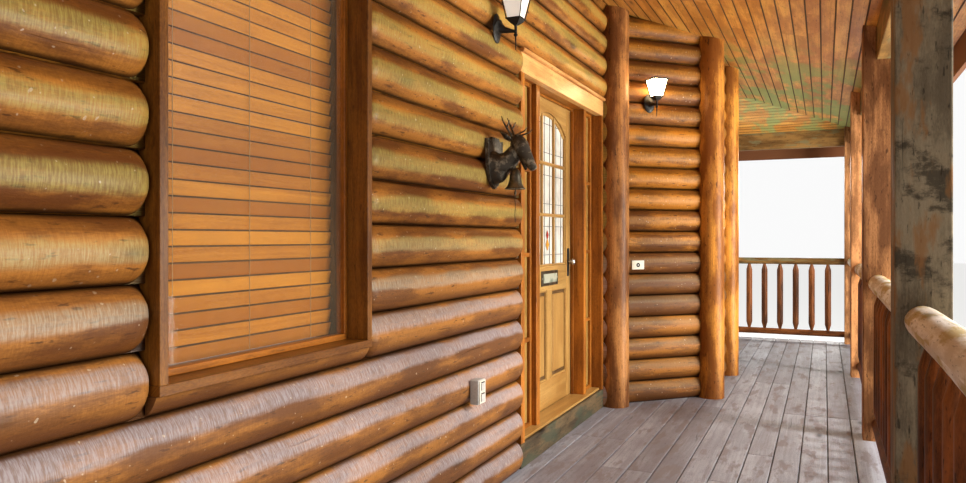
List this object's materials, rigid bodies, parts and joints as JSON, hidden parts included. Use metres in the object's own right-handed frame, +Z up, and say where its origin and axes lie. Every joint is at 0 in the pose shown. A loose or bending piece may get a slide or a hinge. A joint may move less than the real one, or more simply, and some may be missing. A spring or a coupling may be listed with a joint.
{
  "type": "log cabin porch",
  "caption": "Covered porch of a log cabin with its log entrance walls, panelled door with sidelights, window, log railings and hipped boarded ceiling.",
  "frame": {"origin": "ground level under the middle of the roof's plan", "axes": "+X along the porch away from its open end, +Y from the open front to the log wall, +Z up"},
  "size_m": [10.32, 3.01, 3.969],
  "materials": {
    "masonry": "rough",
    "framing": "rough sawn",
    "decking": "weathered",
    "logs": "satin varnish",
    "timber": "satin stain",
    "rails": "satin stain",
    "ceiling_boards": "satin varnish",
    "shingles": "rough",
    "joinery": "satin varnish",
    "blind": "satin varnish",
    "glass": "clear",
    "door_wood": "gloss varnish",
    "black_iron": "satin black",
    "bronze": "dark bronze",
    "frosted_glass": "frosted",
    "knob_metal": "aged",
    "plastic": "matt"
  },
  "bodies": {
    "porch": {"foundation": "masonry", "deck_piers": "masonry", "deck_frame": "framing", "deck_front": "decking", "deck_entrance": "decking", "deck_end": "decking", "front_wall_below_window": "logs", "front_wall_left": "logs", "front_wall_middle": "logs", "front_wall_right": "logs", "front_wall_over_openings": "logs", "canted_wall": "logs", "bay_front_wall": "logs", "end_wall": "logs", "wall_corner_posts": "logs", "porch_posts": "timber", "front_beam": "timber", "end_beam": "timber", "front_railing_1": "rails", "front_railing_2": "rails", "front_railing_3": "rails", "front_railing_4": "rails", "end_railing": "rails", "ceiling_front": "ceiling_boards", "ceiling_end": "ceiling_boards", "rafters": "framing", "roof_front": "shingles", "roof_end": "shingles", "front_fascia": "timber", "end_fascia": "timber", "near_barge_board": "timber", "rear_ledger": "framing", "window_casing": "joinery", "window_sash": "joinery", "window_glass": "glass", "window_blind": "blind", "door_frame": "joinery", "door_head_board": "joinery", "door_head_cap": "joinery", "door_step": "joinery", "sidelight_glass": "glass", "frame_hinges": "black_iron", "front_lantern": "black_iron", "front_lantern_glass": "frosted_glass", "canted_lantern": "black_iron", "canted_lantern_glass": "frosted_glass", "deer_head": "bronze", "bell": "bronze", "bell_clapper": "bronze", "outlet_box": "plastic", "switch_plate": "plastic"},
    "door": {"door_leaf": "door_wood", "door_glass": "glass", "door_knobs": "knob_metal", "letter_plate": "knob_metal", "door_hinges": "black_iron"}
  },
  "joints": [
    {"name": "door_hinge", "type": "hinge", "parent": "porch", "child": "door", "pos_m": [-1.2175, 1.0405, 1.79], "axis": [0, 0, 1], "range_deg": [0, 95]}
  ]
}
